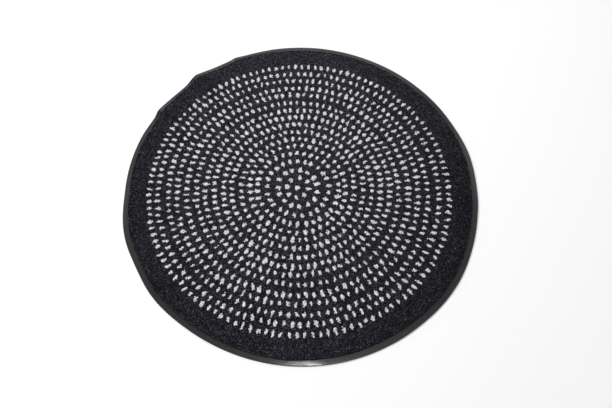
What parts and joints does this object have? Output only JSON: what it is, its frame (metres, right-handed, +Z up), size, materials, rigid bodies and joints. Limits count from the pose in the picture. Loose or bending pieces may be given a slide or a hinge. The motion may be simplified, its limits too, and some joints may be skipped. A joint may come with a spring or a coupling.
{
  "type": "round rug",
  "caption": "Round washable floor rug of dark cut pile with rings of pale dots, on a rubber backing whose bare border shows all round.",
  "frame": {"origin": "on the floor, under the middle of the rug", "axes": "+Z up through the rug's thickness, +Y towards the back of the rug, with the ripples of the rim at the back left, +X to the right"},
  "size_m": [0.8489, 0.8488, 0.0202],
  "materials": {
    "rubber": "dark grey rubber with a fine pressed hatch, slightly glossy",
    "pile": "short cut pile, anthracite with rings of warm off-white dots"
  },
  "bodies": {
    "root": {"rubber_backing": "rubber", "pile_cloth": "pile"}
  },
  "joints": []
}
